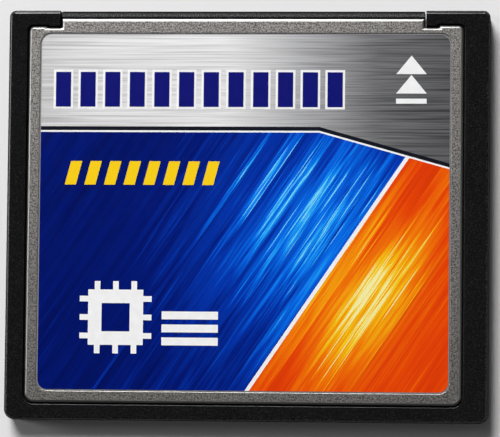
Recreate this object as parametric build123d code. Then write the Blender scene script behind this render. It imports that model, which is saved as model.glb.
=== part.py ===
from build123d import *
import os

# Flash memory card. X runs across the card, +Y points to the connector end, +Z is the label
# side. The origin is the middle of the bottom face. All sizes are in millimetres.

# Card body
CARD_WIDTH = 42.8
CARD_LENGTH = 36.4
CARD_THICKNESS = 3.3

# Moulded frame
LEFT_RAIL = 1.63
RIGHT_RAIL = 2.20
REAR_RAIL = 1.36
LEFT_BLOCK_WIDTH = 4.55
RIGHT_BLOCK_WIDTH = 5.65
LEFT_BLOCK_DEPTH = 1.27
RIGHT_BLOCK_DEPTH = 1.16
FOOT_WIDTH = 1.0
LEFT_FOOT_STEP = 0.11
RIGHT_FOOT_STEP = 0.19
LEDGE_WIDTH = 0.55
FRONT_CORNER_RADIUS = 0.6
REAR_CORNER_RADIUS = 0.9
OUTER_EDGE_CHAMFER = 0.20

# Guide grooves in the two sides, keyed by their different heights
GROOVE_DEPTH = 0.57
GROOVE_LENGTH = 25.78
LEFT_GROOVE_HEIGHT = 1.60
RIGHT_GROOVE_HEIGHT = 1.01

# Pressed steel covers
SHEET = 0.15
COVER_GAP = 0.18
COVER_SINK = 0.10
COVER_SETBACK = 0.76
SKIRT_DEPTH = 0.35
SKIRT_CLEARANCE = 0.05
COVER_FRONT_RADIUS = 0.4
COVER_REAR_RADIUS = 0.8
COVER_BEVEL_WIDTH = 0.18
COVER_BEVEL_HEIGHT = 0.12
RECESS_DEPTH = 0.12
RECESS_MARGIN = 1.0
RECESS_SETBACK = 2.0
RECESS_RADIUS = 1.0

# Latch tabs of the covers
TAB_WIDTH = 2.2
TAB_DROP = 0.8
TAB_SPACING = 15.0
BARB_REACH = 0.28
BARB_HEIGHT = 0.35

# Circuit board and what holds it in the frame
BOARD_THICKNESS = 0.40
BOARD_CLEARANCE = 0.12
SHELF_WIDTH = 0.6
SHELF_CLEARANCE = 0.08
LOCATOR_WIDTH = 1.0
LOCATOR_REACH = 0.5
LOCATOR_HEIGHT = 0.8
LOCATOR_OFFSET = 4.0
NUB_LENGTH = 1.6
NUB_HEIGHT = 0.5
NUB_GRIP = 0.25
NUB_SPACING = 18.0

# Connector
CONNECTOR_CLEARANCE = 0.15
CONNECTOR_INSET = 0.05
CONNECTOR_DEPTH = 5.2
CONNECTOR_END_WALL = 0.9
NOSE_SINK = 0.35
NOSE_EDGE_CHAMFER = 0.2
CONTACT_PITCH = 1.27
ROW_PITCH = 1.27
SOCKET_SIZE = 0.60
SOCKET_LEAD_IN = 0.14
EAR_LENGTH = 2.2
EAR_HEIGHT = 0.8
EAR_CLEARANCE = 0.05
STOP_THICKNESS = 0.45
STOP_WIDTH = 0.9

# Contacts
CONTACT_WIDTH = 0.36
CONTACT_SHEET = 0.10
CONTACT_CLEARANCE = 0.02
CONTACT_TIP_INSET = 0.5
TAIL_RUN = 0.1
TAIL_SLOPE = 0.3
TAIL_FOOT = 0.7
BOARD_TO_CONNECTOR = 0.15

# Chip leads, shared by every package
LEAD_THICKNESS = 0.12
LEAD_WIDTH = 0.2
LEAD_FOOT = 0.35
STANDOFF = 0.08
CHIP_EDGE_CHAMFER = 0.1
PIN_ONE_SIDES = 6
PIN_ONE_DEPTH = 0.04

# Flash memory chips, two side by side under the label cover
FLASH_WIDTH = 12.0
FLASH_LENGTH = 18.4
FLASH_LEAD_REACH = 0.8
FLASH_LEAD_PITCH = 0.5
FLASH_LEAD_MARGIN = 0.25
FLASH_SPACING = 15.6
FLASH_HEADROOM = 0.05
FLASH_MARK_RADIUS = 0.5
FLASH_MARK_INSET = 1.3

# Controller chip on the other face of the board
CONTROLLER_SIZE = 14.0
CONTROLLER_LEAD_REACH = 1.0
CONTROLLER_LEAD_PITCH = 0.65
CONTROLLER_LEAD_MARGIN = 0.8
CONTROLLER_HEADROOM = 0.15
CONTROLLER_FROM_LEFT = 5.0
CONTROLLER_FROM_REAR = 3.3
CONTROLLER_MARK_RADIUS = 0.4
CONTROLLER_MARK_INSET = 1.2

# Voltage regulator, clock crystal and small parts in two columns near the board's right edge
INNER_COLUMN = 5.6
OUTER_COLUMN = 2.0
REGULATOR_LENGTH = 2.9
REGULATOR_WIDTH = 1.6
REGULATOR_THICKNESS = 0.7
REGULATOR_LEAD_REACH = 0.6
REGULATOR_LEAD_PITCH = 0.95
REGULATOR_Y = 5.5
CRYSTAL_LENGTH = 3.2
CRYSTAL_WIDTH = 2.5
CRYSTAL_HEIGHT = 0.5
CRYSTAL_LID_INSET = 0.25
CRYSTAL_LID_HEIGHT = 0.15
CRYSTAL_Y = -1.0
CAPACITOR_LENGTH = 1.6
CAPACITOR_WIDTH = 0.8
CAPACITOR_HEIGHT = 0.7
CAPACITOR_CAP = 0.3
CAPACITOR_PITCH = 2.4
CAPACITOR_COUNT = 4
CAPACITOR_Y = -2.0
RESISTOR_LENGTH = 1.0
RESISTOR_WIDTH = 0.5
RESISTOR_HEIGHT = 0.35
RESISTOR_CAP = 0.2
RESISTOR_PITCH = 1.3
RESISTOR_COUNT = 4
RESISTOR_Y = -6.5

# Front label film and its printed layers
LABEL_GAP = 0.07
FILM_THICKNESS = 0.05
PRINT_THICKNESS = 0.02
PRINT_MARGIN = 0.08

# Fields of colour, measured from the edges of the printed area
HEADER_HEIGHT = 8.2
HEADER_DROP = 3.2
HEADER_BEND = 11.5
DIVIDER_WIDTH = 0.35
DIVIDER_LINE = 0.16
DIAGONAL_TOP = 2.1
DIAGONAL_BOTTOM = 18.4
DIAGONAL_LINE = 0.4
RED_BAND = 1.5
ORANGE_BAND = 1.9
YELLOW_BAND = 2.6
OUTER_ORANGE_BAND = 2.9
BLUE_BAND_START = 1.6
BLUE_BAND_WIDTH = 1.9
BLUE_BAND_STEP = 2.9
BLUE_BAND_COUNT = 5

# Plain motifs on the fields
PAD_WIDTH = 1.35
PAD_HEIGHT = 3.1
PAD_PITCH = 2.2
PAD_OUTLINE = 0.2
PAD_LEFT = 1.3
PAD_RIGHT = 7.3
PAD_DOWN = 4.9
ARROW_WIDTH = 2.7
ARROW_HEIGHT = 1.65
ARROW_STEP = 1.72
ARROW_RIGHT = 3.4
ARROW_DOWN = 1.85
SLOT_BAR_HEIGHT = 0.45
SLOT_BAR_GAP = 0.45
DASH_WIDTH = 1.0
DASH_HEIGHT = 2.1
DASH_PITCH = 1.75
DASH_SLANT = 0.55
DASH_COUNT = 8
DASH_LEFT = 2.2
DASH_DOWN = 11.3
ICON_SIZE = 4.9
ICON_HOLE = 2.5
ICON_LEG_LENGTH = 0.75
ICON_LEG_WIDTH = 0.5
ICON_LEG_COUNT = 3
ICON_LEFT = 3.7
ICON_UP = 3.2
STACK_WIDTH = 5.0
STACK_HEIGHT = 0.7
STACK_STEP = 1.15
STACK_COUNT = 3
STACK_GAP = 0.9

# Allowance for rounding when whole pitches are counted
COUNTING_SLACK = 1e-6

# Faces of the card
LEFT = -CARD_WIDTH / 2
RIGHT = CARD_WIDTH / 2
REAR = -CARD_LENGTH / 2
FRONT = CARD_LENGTH / 2
TOP = CARD_THICKNESS
MIDDLE = CARD_THICKNESS / 2

# Opening between the two front blocks
OPENING_LEFT = LEFT + LEFT_BLOCK_WIDTH
OPENING_RIGHT = RIGHT - RIGHT_BLOCK_WIDTH
OPENING_CENTRE = (OPENING_LEFT + OPENING_RIGHT) / 2

# Edges and levels of the label-side cover; the rear cover mirrors them
COVER_LEFT = LEFT + LEFT_RAIL + COVER_GAP
COVER_RIGHT = RIGHT - RIGHT_RAIL - COVER_GAP
COVER_REAR = REAR + REAR_RAIL + COVER_GAP
COVER_NOSE = FRONT - COVER_SETBACK
COVER_FACE = TOP - COVER_SINK
COVER_INSIDE = COVER_FACE - SHEET
SKIRT_END = COVER_FACE - SKIRT_DEPTH
RECESS_FLOOR = COVER_FACE - RECESS_DEPTH
RECESS_INSIDE = RECESS_FLOOR - SHEET
CHANNEL_FLOOR = SKIRT_END - SKIRT_CLEARANCE
TAB_END = SKIRT_END - TAB_DROP

# Inner cavity of the frame
CHANNEL_WIDTH = COVER_GAP + SHEET + SKIRT_CLEARANCE
CAVITY_LEFT = LEFT + LEFT_RAIL + CHANNEL_WIDTH + LEDGE_WIDTH
CAVITY_RIGHT = RIGHT - RIGHT_RAIL - CHANNEL_WIDTH - LEDGE_WIDTH
CAVITY_REAR = REAR + REAR_RAIL + CHANNEL_WIDTH + LEDGE_WIDTH
DEEPEST_BLOCK = max(LEFT_BLOCK_DEPTH + LEFT_FOOT_STEP, RIGHT_BLOCK_DEPTH + RIGHT_FOOT_STEP)
CAVITY_FRONT = FRONT - DEEPEST_BLOCK - CHANNEL_WIDTH - LEDGE_WIDTH

# Connector, from its front face back to the board
CONNECTOR_LEFT = OPENING_LEFT + CONNECTOR_CLEARANCE
CONNECTOR_RIGHT = OPENING_RIGHT - CONNECTOR_CLEARANCE
CONNECTOR_FRONT = FRONT - CONNECTOR_INSET
CONNECTOR_REAR = CONNECTOR_FRONT - CONNECTOR_DEPTH
NOSE_STEP = COVER_NOSE + COVER_GAP
EAR_FRONT = CAVITY_FRONT - EAR_CLEARANCE
EAR_REAR = EAR_FRONT - EAR_LENGTH

# Board faces and edges
BOARD_TOP = MIDDLE + BOARD_THICKNESS / 2
BOARD_UNDERSIDE = MIDDLE - BOARD_THICKNESS / 2
BOARD_LEFT = CAVITY_LEFT + BOARD_CLEARANCE
BOARD_RIGHT = CAVITY_RIGHT - BOARD_CLEARANCE
BOARD_REAR = CAVITY_REAR + BOARD_CLEARANCE
BOARD_FRONT = CONNECTOR_REAR - BOARD_TO_CONNECTOR
BOARD_CENTRE_X = (BOARD_LEFT + BOARD_RIGHT) / 2
TAIL_END = CONNECTOR_REAR - TAIL_RUN - TAIL_SLOPE - TAIL_FOOT
PARTS_CENTRE_Y = (BOARD_REAR + TAIL_END) / 2

# Printed area of the label, and the levels of its layers
LABEL_LEFT = COVER_LEFT + RECESS_MARGIN + LABEL_GAP
LABEL_RIGHT = COVER_RIGHT - RECESS_MARGIN - LABEL_GAP
LABEL_REAR = COVER_REAR + RECESS_MARGIN + LABEL_GAP
LABEL_FRONT = FRONT - RECESS_SETBACK - LABEL_GAP
PRINT_LEFT = LABEL_LEFT + PRINT_MARGIN
PRINT_RIGHT = LABEL_RIGHT - PRINT_MARGIN
PRINT_REAR = LABEL_REAR + PRINT_MARGIN
PRINT_FRONT = LABEL_FRONT - PRINT_MARGIN
PRINT_WIDTH = PRINT_RIGHT - PRINT_LEFT
HEADER_LEVEL = PRINT_FRONT - HEADER_HEIGHT
DIVIDER_END = DIVIDER_WIDTH + DIVIDER_LINE
FIELD_LEVEL = RECESS_FLOOR + FILM_THICKNESS
MOTIF_LEVEL = FIELD_LEVEL + PRINT_THICKNESS
PAD_LEVEL = MOTIF_LEVEL + PRINT_THICKNESS


def block(x0, x1, y0, y1, z0, z1):
    """Box between two opposite corners."""
    middle = Pos((x0 + x1) / 2, (y0 + y1) / 2, (z0 + z1) / 2)
    return middle * Box(x1 - x0, y1 - y0, z1 - z0)


def plate(face, z0, z1):
    """Flat face drawn at height zero, raised and thickened from z0 to z1."""
    return Pos(0, 0, z0) * extrude(face, z1 - z0)


def corners_of(x0, x1, y0, y1):
    """Corner points of a rectangle, from the rear left one round to the front left one."""
    return [(x0, y0), (x1, y0), (x1, y1), (x0, y1)]


def polygon(points):
    """Flat face inside straight edges."""
    return make_face(Polyline(*points, close=True))


def rounded_polygon(points, radii):
    """Flat face inside straight edges, each corner rounded by its own radius."""
    return make_face(FilletPolyline(*points, radius=radii, close=True))


def cut_polygon(points, cuts):
    """Flat face inside straight edges, each corner cut off at its own distance."""
    corners = []
    for i, (x, y) in enumerate(points):
        here = Vector(x, y)
        before = Vector(*points[i - 1])
        after = Vector(*points[(i + 1) % len(points)])
        corners.append(here + (before - here).normalized() * cuts[i])
        if cuts[i] > 0:
            corners.append(here + (after - here).normalized() * cuts[i])
    return polygon(corners)


def flip(shape):
    """Mirror a shape from the label side to the rear side of the card."""
    return mirror(shape, about=Plane.XY.offset(MIDDLE))


def count_at_pitch(length, pitch):
    """How many copies at a pitch fit along a length, ends included."""
    return int(length / pitch + COUNTING_SLACK) + 1


def spread(count, pitch, centre=0.0):
    """Positions of copies at a pitch, centred on a point."""
    return [centre + (i - (count - 1) / 2) * pitch for i in range(count)]


def cover_outline(grow=0.0, make=rounded_polygon):
    """Plan outline of a cover, moved outwards by grow. It steps round the two front blocks."""
    rear = COVER_REAR - grow
    nose = COVER_NOSE + grow
    left_shoulder = FRONT - LEFT_BLOCK_DEPTH - COVER_GAP + grow
    right_shoulder = FRONT - RIGHT_BLOCK_DEPTH - COVER_GAP + grow
    left_step = OPENING_LEFT - FOOT_WIDTH - COVER_GAP + grow
    right_step = OPENING_RIGHT + FOOT_WIDTH + COVER_GAP - grow
    rear_radius = COVER_REAR_RADIUS + grow
    front_radius = COVER_FRONT_RADIUS + grow
    corners = [
        (COVER_LEFT - grow, rear, rear_radius),
        (COVER_RIGHT + grow, rear, rear_radius),
        (COVER_RIGHT + grow, right_shoulder, front_radius),
        (right_step, right_shoulder, 0),
        (right_step, right_shoulder - RIGHT_FOOT_STEP, 0),
        (OPENING_RIGHT - COVER_GAP + grow, right_shoulder - RIGHT_FOOT_STEP, 0),
        (OPENING_RIGHT - COVER_GAP + grow, nose, 0),
        (OPENING_LEFT + COVER_GAP - grow, nose, 0),
        (OPENING_LEFT + COVER_GAP - grow, left_shoulder - LEFT_FOOT_STEP, 0),
        (left_step, left_shoulder - LEFT_FOOT_STEP, 0),
        (left_step, left_shoulder, 0),
        (COVER_LEFT - grow, left_shoulder, front_radius),
    ]
    return make([(x, y) for x, y, _ in corners], [radius for _, _, radius in corners])


def recess_outline(grow=0.0, make=rounded_polygon):
    """Plan outline of the pressed label recess, moved outwards by grow."""
    corners = corners_of(
        COVER_LEFT + RECESS_MARGIN - grow,
        COVER_RIGHT - RECESS_MARGIN + grow,
        COVER_REAR + RECESS_MARGIN - grow,
        FRONT - RECESS_SETBACK + grow,
    )
    return make(corners, [RECESS_RADIUS] * 4)


def tab_planes():
    """Planes at the cover's sides where a latch tab hangs: x outwards, y up, z along the edge."""
    planes = []
    for y in spread(2, TAB_SPACING, (COVER_REAR + CAVITY_FRONT) / 2):
        planes.append(Plane(origin=(COVER_LEFT, y, 0), x_dir=(-1, 0, 0), z_dir=(0, 1, 0)))
        planes.append(Plane(origin=(COVER_RIGHT, y, 0), x_dir=(1, 0, 0), z_dir=(0, -1, 0)))
    return planes


def latch_tab():
    """Section of a tab: a strip that goes on down from the skirt, with a barb facing outwards."""
    return polygon(
        [
            (-SHEET, SKIRT_END),
            (0, SKIRT_END),
            (0, TAB_END + BARB_HEIGHT),
            (BARB_REACH, TAB_END + BARB_HEIGHT),
            (0, TAB_END),
            (-SHEET, TAB_END),
        ]
    )


def latch_slot():
    """Section of the slot in the frame that a tab drops into, with a notch for its barb."""
    inner = -SHEET - SKIRT_CLEARANCE
    notch = BARB_REACH + SKIRT_CLEARANCE
    notch_top = TAB_END + BARB_HEIGHT + SKIRT_CLEARANCE
    floor = TAB_END - SKIRT_CLEARANCE
    return polygon(
        [
            (inner, CHANNEL_FLOOR),
            (COVER_GAP, CHANNEL_FLOOR),
            (COVER_GAP, notch_top),
            (notch, notch_top),
            (notch, floor),
            (inner, floor),
        ]
    )


def cover():
    """Steel cover on the label side: a shallow tray with a bevelled rim, recess and tabs."""
    tray = plate(cover_outline(), SKIRT_END, COVER_FACE)
    face = tray.faces().sort_by(Axis.Z)[-1]
    tray = chamfer(face.edges(), COVER_BEVEL_WIDTH, COVER_BEVEL_HEIGHT, reference=face)
    tray -= plate(cover_outline(-SHEET, cut_polygon), SKIRT_END, COVER_INSIDE)
    tray += plate(recess_outline(SHEET, cut_polygon), RECESS_INSIDE, COVER_INSIDE)
    tray -= plate(recess_outline(), RECESS_FLOOR, COVER_FACE)
    for seat in tab_planes():
        tray += extrude(seat * latch_tab(), TAB_WIDTH / 2, both=True)
    return tray


def frame_blank():
    """Solid block of the card's outer form, with its outer edges bevelled."""
    radii = [REAR_CORNER_RADIUS] * 2 + [FRONT_CORNER_RADIUS] * 2
    outline = rounded_polygon(corners_of(LEFT, RIGHT, REAR, FRONT), radii)
    blank = plate(outline, 0, TOP)
    levels = blank.edges().group_by(Axis.Z)
    return chamfer(levels[0] + levels[-1], OUTER_EDGE_CHAMFER)


def cover_pocket():
    """Space for the label-side cover: its outline, a channel for the skirt, and the recess."""
    pocket = plate(cover_outline(COVER_GAP), CHANNEL_FLOOR, TOP)
    ledge = cover_outline(-SHEET - SKIRT_CLEARANCE, cut_polygon)
    pocket -= plate(ledge, CHANNEL_FLOOR, COVER_INSIDE)
    dish = recess_outline(SHEET + SKIRT_CLEARANCE, cut_polygon)
    pocket += plate(dish, RECESS_INSIDE - SKIRT_CLEARANCE, TOP)
    for seat in tab_planes():
        pocket += extrude(seat * latch_slot(), TAB_WIDTH / 2 + SKIRT_CLEARANCE, both=True)
    return pocket


def guide_groove(x0, x1, height):
    """Groove along one side that the card slides in by, open at the connector end."""
    low = MIDDLE - height / 2
    return block(x0, x1, FRONT - GROOVE_LENGTH, FRONT, low, low + height)


def board_shelf():
    """Step inside the sides and rear that the board and the connector ears rest on."""
    low = TOP - RECESS_INSIDE + SHELF_CLEARANCE
    shelf = block(CAVITY_LEFT, CAVITY_RIGHT, CAVITY_REAR, CAVITY_FRONT, low, BOARD_UNDERSIDE)
    inner_left = CAVITY_LEFT + SHELF_WIDTH
    inner_right = CAVITY_RIGHT - SHELF_WIDTH
    inner_rear = CAVITY_REAR + SHELF_WIDTH
    return shelf - block(inner_left, inner_right, inner_rear, FRONT, 0, TOP)


def at_both_walls(reach, y0, y1, z0, z1):
    """A pair of blocks that stand out of the left and right cavity walls by reach."""
    left = block(CAVITY_LEFT, CAVITY_LEFT + reach, y0, y1, z0, z1)
    right = block(CAVITY_RIGHT - reach, CAVITY_RIGHT, y0, y1, z0, z1)
    return [left, right]


def locators(clearance=0.0):
    """Upright ribs on both side walls, or with a clearance the notches they fit in."""
    middle = PARTS_CENTRE_Y - LOCATOR_OFFSET
    half = LOCATOR_WIDTH / 2 + clearance
    top = BOARD_TOP + LOCATOR_HEIGHT
    reach = LOCATOR_REACH + clearance
    return at_both_walls(reach, middle - half, middle + half, BOARD_UNDERSIDE, top)


def hold_down_nubs():
    """Small wedges on the side walls that snap over the edges of the board."""
    reach = BOARD_CLEARANCE + NUB_GRIP
    wedge = polygon([(0, BOARD_TOP), (reach, BOARD_TOP), (0, BOARD_TOP + NUB_HEIGHT)])
    nubs = []
    for y in spread(2, NUB_SPACING, PARTS_CENTRE_Y):
        left = Plane(origin=(CAVITY_LEFT, y, 0), x_dir=(1, 0, 0), z_dir=(0, -1, 0))
        right = Plane(origin=(CAVITY_RIGHT, y, 0), x_dir=(-1, 0, 0), z_dir=(0, 1, 0))
        nubs += [extrude(seat * wedge, NUB_LENGTH / 2, both=True) for seat in (left, right)]
    return nubs


def ear_stops():
    """Ribs behind the connector ears that keep the connector from being pushed in."""
    front = EAR_REAR - EAR_CLEARANCE
    top = BOARD_UNDERSIDE + EAR_HEIGHT
    return at_both_walls(STOP_WIDTH, front - STOP_THICKNESS, front, BOARD_UNDERSIDE, top)


def frame():
    """One-piece moulded frame: two side rails, a rear rail and a block at each front corner."""
    body = frame_blank()
    body -= block(OPENING_LEFT, OPENING_RIGHT, CAVITY_FRONT, FRONT, 0, TOP)
    body -= block(CAVITY_LEFT, CAVITY_RIGHT, CAVITY_REAR, CAVITY_FRONT, 0, TOP)
    pocket = cover_pocket()
    body -= pocket
    body -= flip(pocket)
    body -= guide_groove(LEFT, LEFT + GROOVE_DEPTH, LEFT_GROOVE_HEIGHT)
    body -= guide_groove(RIGHT - GROOVE_DEPTH, RIGHT, RIGHT_GROOVE_HEIGHT)
    body += board_shelf()
    for feature in locators() + hold_down_nubs() + ear_stops():
        body += feature
    return body


def contact_columns():
    """Sideways positions of the contacts, measured from the middle of the connector."""
    width = CONNECTOR_RIGHT - CONNECTOR_LEFT - 2 * CONNECTOR_END_WALL
    return spread(count_at_pitch(width, CONTACT_PITCH), CONTACT_PITCH)


def socket_grid():
    """Two rows of squares, one for each contact, centred between the rows."""
    square = Rectangle(SOCKET_SIZE, SOCKET_SIZE)
    places = [Pos(x, z) for x in contact_columns() for z in (-ROW_PITCH / 2, ROW_PITCH / 2)]
    return Sketch() + [place * square for place in places]


def connector_housing():
    """Black socket block: raised nose, body under the covers, and an ear on each side."""
    width = (CONNECTOR_LEFT, CONNECTOR_RIGHT)
    housing = block(*width, CONNECTOR_REAR, CONNECTOR_FRONT, TOP - CHANNEL_FLOOR, CHANNEL_FLOOR)
    nose = block(*width, NOSE_STEP, CONNECTOR_FRONT, NOSE_SINK, TOP - NOSE_SINK)
    front_edges = nose.edges().filter_by(Axis.X).group_by(Axis.Y)[-1]
    housing += chamfer(front_edges, NOSE_EDGE_CHAMFER)
    ear_left = CAVITY_LEFT + EAR_CLEARANCE
    ear_right = CAVITY_RIGHT - EAR_CLEARANCE
    ear_top = BOARD_UNDERSIDE + EAR_HEIGHT
    housing += block(ear_left, ear_right, EAR_REAR, EAR_FRONT, BOARD_UNDERSIDE, ear_top)
    centre = (OPENING_CENTRE, CONNECTOR_FRONT, MIDDLE)
    inwards = Plane(origin=centre, x_dir=(1, 0, 0), z_dir=(0, -1, 0))
    housing -= extrude(inwards * socket_grid(), CONNECTOR_DEPTH)
    mouths = housing.faces().sort_by(Axis.Y)[-1].inner_wires()
    return chamfer([edge for mouth in mouths for edge in mouth.edges()], SOCKET_LEAD_IN)


def contact_section():
    """Side view of an upper-row contact: a blade in its socket and a tail down to the board."""
    low = MIDDLE + ROW_PITCH / 2 - SOCKET_SIZE / 2 + CONTACT_CLEARANCE
    tip = CONNECTOR_FRONT - CONTACT_TIP_INSET
    way_out = CONNECTOR_REAR - TAIL_RUN
    heel = way_out - TAIL_SLOPE
    return polygon(
        [
            (tip, low),
            (way_out, low),
            (heel, BOARD_TOP),
            (TAIL_END, BOARD_TOP),
            (TAIL_END, BOARD_TOP + CONTACT_SHEET),
            (heel, BOARD_TOP + CONTACT_SHEET),
            (way_out, low + CONTACT_SHEET),
            (tip, low + CONTACT_SHEET),
        ]
    )


def contact_row():
    """All contacts of the upper row as separate solids."""
    section = Plane.YZ * contact_section()
    contact = extrude(section, CONTACT_WIDTH / 2, both=True)
    return Compound([Pos(OPENING_CENTRE + x, 0, 0) * contact for x in contact_columns()])


def circuit_board():
    """Bare board, with a notch in each side edge for the locator ribs of the frame."""
    board = block(BOARD_LEFT, BOARD_RIGHT, BOARD_REAR, BOARD_FRONT, BOARD_UNDERSIDE, BOARD_TOP)
    for notch in locators(BOARD_CLEARANCE):
        board -= notch
    return board


def bevelled_body(width, length, thickness):
    """Moulded package above the board at the origin, with its upper and lower edges bevelled."""
    base = BOARD_TOP + STANDOFF
    body = block(-width / 2, width / 2, -length / 2, length / 2, base, base + thickness)
    levels = body.edges().group_by(Axis.Z)
    return chamfer(levels[0] + levels[-1], CHIP_EDGE_CHAMFER)


def chip_body(width, length, thickness, mark_radius, mark_inset):
    """Chip package with a small pressed mark beside its first pin."""
    top = BOARD_TOP + STANDOFF + thickness
    mark = plate(RegularPolygon(mark_radius, PIN_ONE_SIDES), top - PIN_ONE_DEPTH, top)
    corner = Pos(mark_inset - width / 2, length / 2 - mark_inset, 0)
    return bevelled_body(width, length, thickness) - corner * mark


def lead(reach, exit_height, width=LEAD_WIDTH):
    """Lead that leaves a wall at x = 0, slopes down along +X and stands on the board."""
    section = polygon(
        [
            (0, exit_height),
            (reach - LEAD_FOOT, 0),
            (reach, 0),
            (reach, LEAD_THICKNESS),
            (0, exit_height + LEAD_THICKNESS),
        ]
    )
    side = Plane(origin=(0, 0, BOARD_TOP), x_dir=(1, 0, 0), z_dir=(0, -1, 0))
    return extrude(side * section, width / 2, both=True)


def lead_row(one_lead, wall, offsets, angle):
    """Copies of a lead along a chip wall; angle turns the wall round the chip's centre."""
    return [Rot(0, 0, angle) * Pos(wall, y, 0) * one_lead for y in offsets]


def flash_thickness():
    """Body thickness that fills the room under the label cover up to its headroom."""
    return RECESS_INSIDE - FLASH_HEADROOM - BOARD_TOP - STANDOFF


def flash_places():
    """Centres of the two flash chips on the board."""
    return [Pos(x, PARTS_CENTRE_Y, 0) for x in spread(2, FLASH_SPACING, BOARD_CENTRE_X)]


def flash_chip():
    """Body of a flash chip, its long side along the card."""
    return chip_body(
        FLASH_WIDTH, FLASH_LENGTH, flash_thickness(), FLASH_MARK_RADIUS, FLASH_MARK_INSET
    )


def flash_leads():
    """Both rows of leads of a flash chip, at its short ends."""
    exit_height = STANDOFF + (flash_thickness() - LEAD_THICKNESS) / 2
    one = lead(FLASH_LEAD_REACH, exit_height)
    count = count_at_pitch(FLASH_WIDTH - 2 * FLASH_LEAD_MARGIN, FLASH_LEAD_PITCH)
    offsets = spread(count, FLASH_LEAD_PITCH)
    rows = [lead_row(one, FLASH_LENGTH / 2, offsets, angle) for angle in (90, -90)]
    return Compound(rows[0] + rows[1])


def controller_place():
    """Centre of the controller, from the board's left and rear edges to its leads."""
    half = CONTROLLER_SIZE / 2 + CONTROLLER_LEAD_REACH
    return Pos(BOARD_LEFT + CONTROLLER_FROM_LEFT + half, BOARD_REAR + CONTROLLER_FROM_REAR + half, 0)


def in_column(from_right, y):
    """A place in a column of small parts, at a distance from the board's right edge."""
    return Pos(BOARD_RIGHT - from_right, PARTS_CENTRE_Y + y, 0)


def controller_thickness():
    """Body thickness that fills the room over the rear cover up to its headroom."""
    return RECESS_INSIDE - CONTROLLER_HEADROOM - BOARD_TOP - STANDOFF


def controller_chip():
    """Square controller body, drawn on the label side and flipped when placed."""
    return chip_body(
        CONTROLLER_SIZE,
        CONTROLLER_SIZE,
        controller_thickness(),
        CONTROLLER_MARK_RADIUS,
        CONTROLLER_MARK_INSET,
    )


def controller_leads():
    """Leads on all four sides of the controller."""
    exit_height = STANDOFF + (controller_thickness() - LEAD_THICKNESS) / 2
    one = lead(CONTROLLER_LEAD_REACH, exit_height)
    count = count_at_pitch(CONTROLLER_SIZE - 2 * CONTROLLER_LEAD_MARGIN, CONTROLLER_LEAD_PITCH)
    offsets = spread(count, CONTROLLER_LEAD_PITCH)
    leads = []
    for angle in (0, 90, 180, 270):
        leads += lead_row(one, CONTROLLER_SIZE / 2, offsets, angle)
    return Compound(leads)


def regulator_leads():
    """Three leads on one side of the regulator and two on the other."""
    exit_height = STANDOFF + (REGULATOR_THICKNESS - LEAD_THICKNESS) / 2
    one = lead(REGULATOR_LEAD_REACH, exit_height, 2 * LEAD_WIDTH)
    three = lead_row(one, REGULATOR_WIDTH / 2, spread(3, REGULATOR_LEAD_PITCH), 0)
    two = lead_row(one, REGULATOR_WIDTH / 2, spread(2, 2 * REGULATOR_LEAD_PITCH), 180)
    return Compound(three + two)


def standing(width, length, height):
    """Plain block that stands on the board at the origin."""
    top = BOARD_TOP + height
    return block(-width / 2, width / 2, -length / 2, length / 2, BOARD_TOP, top)


def crystal_lid():
    """Metal lid on the ceramic base of the clock crystal."""
    width = CRYSTAL_WIDTH - 2 * CRYSTAL_LID_INSET
    length = CRYSTAL_LENGTH - 2 * CRYSTAL_LID_INSET
    lid = Pos(0, 0, CRYSTAL_HEIGHT) * standing(width, length, CRYSTAL_LID_HEIGHT)
    return chamfer(lid.edges().group_by(Axis.Z)[-1], CRYSTAL_LID_HEIGHT / 2)


def chip_parts(length, width, height, cap, places):
    """Bodies of a row of two-terminal parts, and the metal caps on both their ends."""
    body = standing(length - 2 * cap, width, height)
    end = standing(cap, width, height)
    shift = (length - cap) / 2
    bodies = [place * body for place in places]
    caps = [place * Pos(x, 0, 0) * end for place in places for x in (-shift, shift)]
    return Compound(bodies), Compound(caps)


def capacitors():
    """Ceramic capacitors in the outer column."""
    rows = spread(CAPACITOR_COUNT, CAPACITOR_PITCH, CAPACITOR_Y)
    places = [in_column(OUTER_COLUMN, y) for y in rows]
    return chip_parts(CAPACITOR_LENGTH, CAPACITOR_WIDTH, CAPACITOR_HEIGHT, CAPACITOR_CAP, places)


def resistors():
    """Chip resistors at the rear end of the inner column."""
    rows = spread(RESISTOR_COUNT, RESISTOR_PITCH, RESISTOR_Y)
    places = [in_column(INNER_COLUMN, y) for y in rows]
    return chip_parts(RESISTOR_LENGTH, RESISTOR_WIDTH, RESISTOR_HEIGHT, RESISTOR_CAP, places)


def label_film():
    """White film glued into the recess of the label-side cover."""
    corners = corners_of(LABEL_LEFT, LABEL_RIGHT, LABEL_REAR, LABEL_FRONT)
    film = rounded_polygon(corners, [RECESS_RADIUS - LABEL_GAP] * 4)
    return plate(film, RECESS_FLOOR, FIELD_LEVEL)


def print_area():
    """Outline that all the print stays inside."""
    corners = corners_of(PRINT_LEFT, PRINT_RIGHT, PRINT_REAR, PRINT_FRONT)
    return rounded_polygon(corners, [RECESS_RADIUS - LABEL_GAP - PRINT_MARGIN] * 4)


def header_edge(down):
    """Points of the line under the header, moved down: level, then falling to the right."""
    level = HEADER_LEVEL - down
    bend = PRINT_RIGHT - HEADER_BEND
    return [(PRINT_LEFT, level), (bend, level), (PRINT_RIGHT, level - HEADER_DROP)]


def diagonal_edge(shift):
    """Ends of the slanting line between the cold and the warm field, moved right by shift."""
    foot = (PRINT_LEFT + DIAGONAL_BOTTOM + shift, PRINT_REAR)
    head = (PRINT_RIGHT - DIAGONAL_TOP + shift, HEADER_LEVEL)
    return foot, head


def header_strip(near, far):
    """Face between two copies of the line under the header."""
    return polygon(header_edge(near) + header_edge(far)[::-1])


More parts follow.
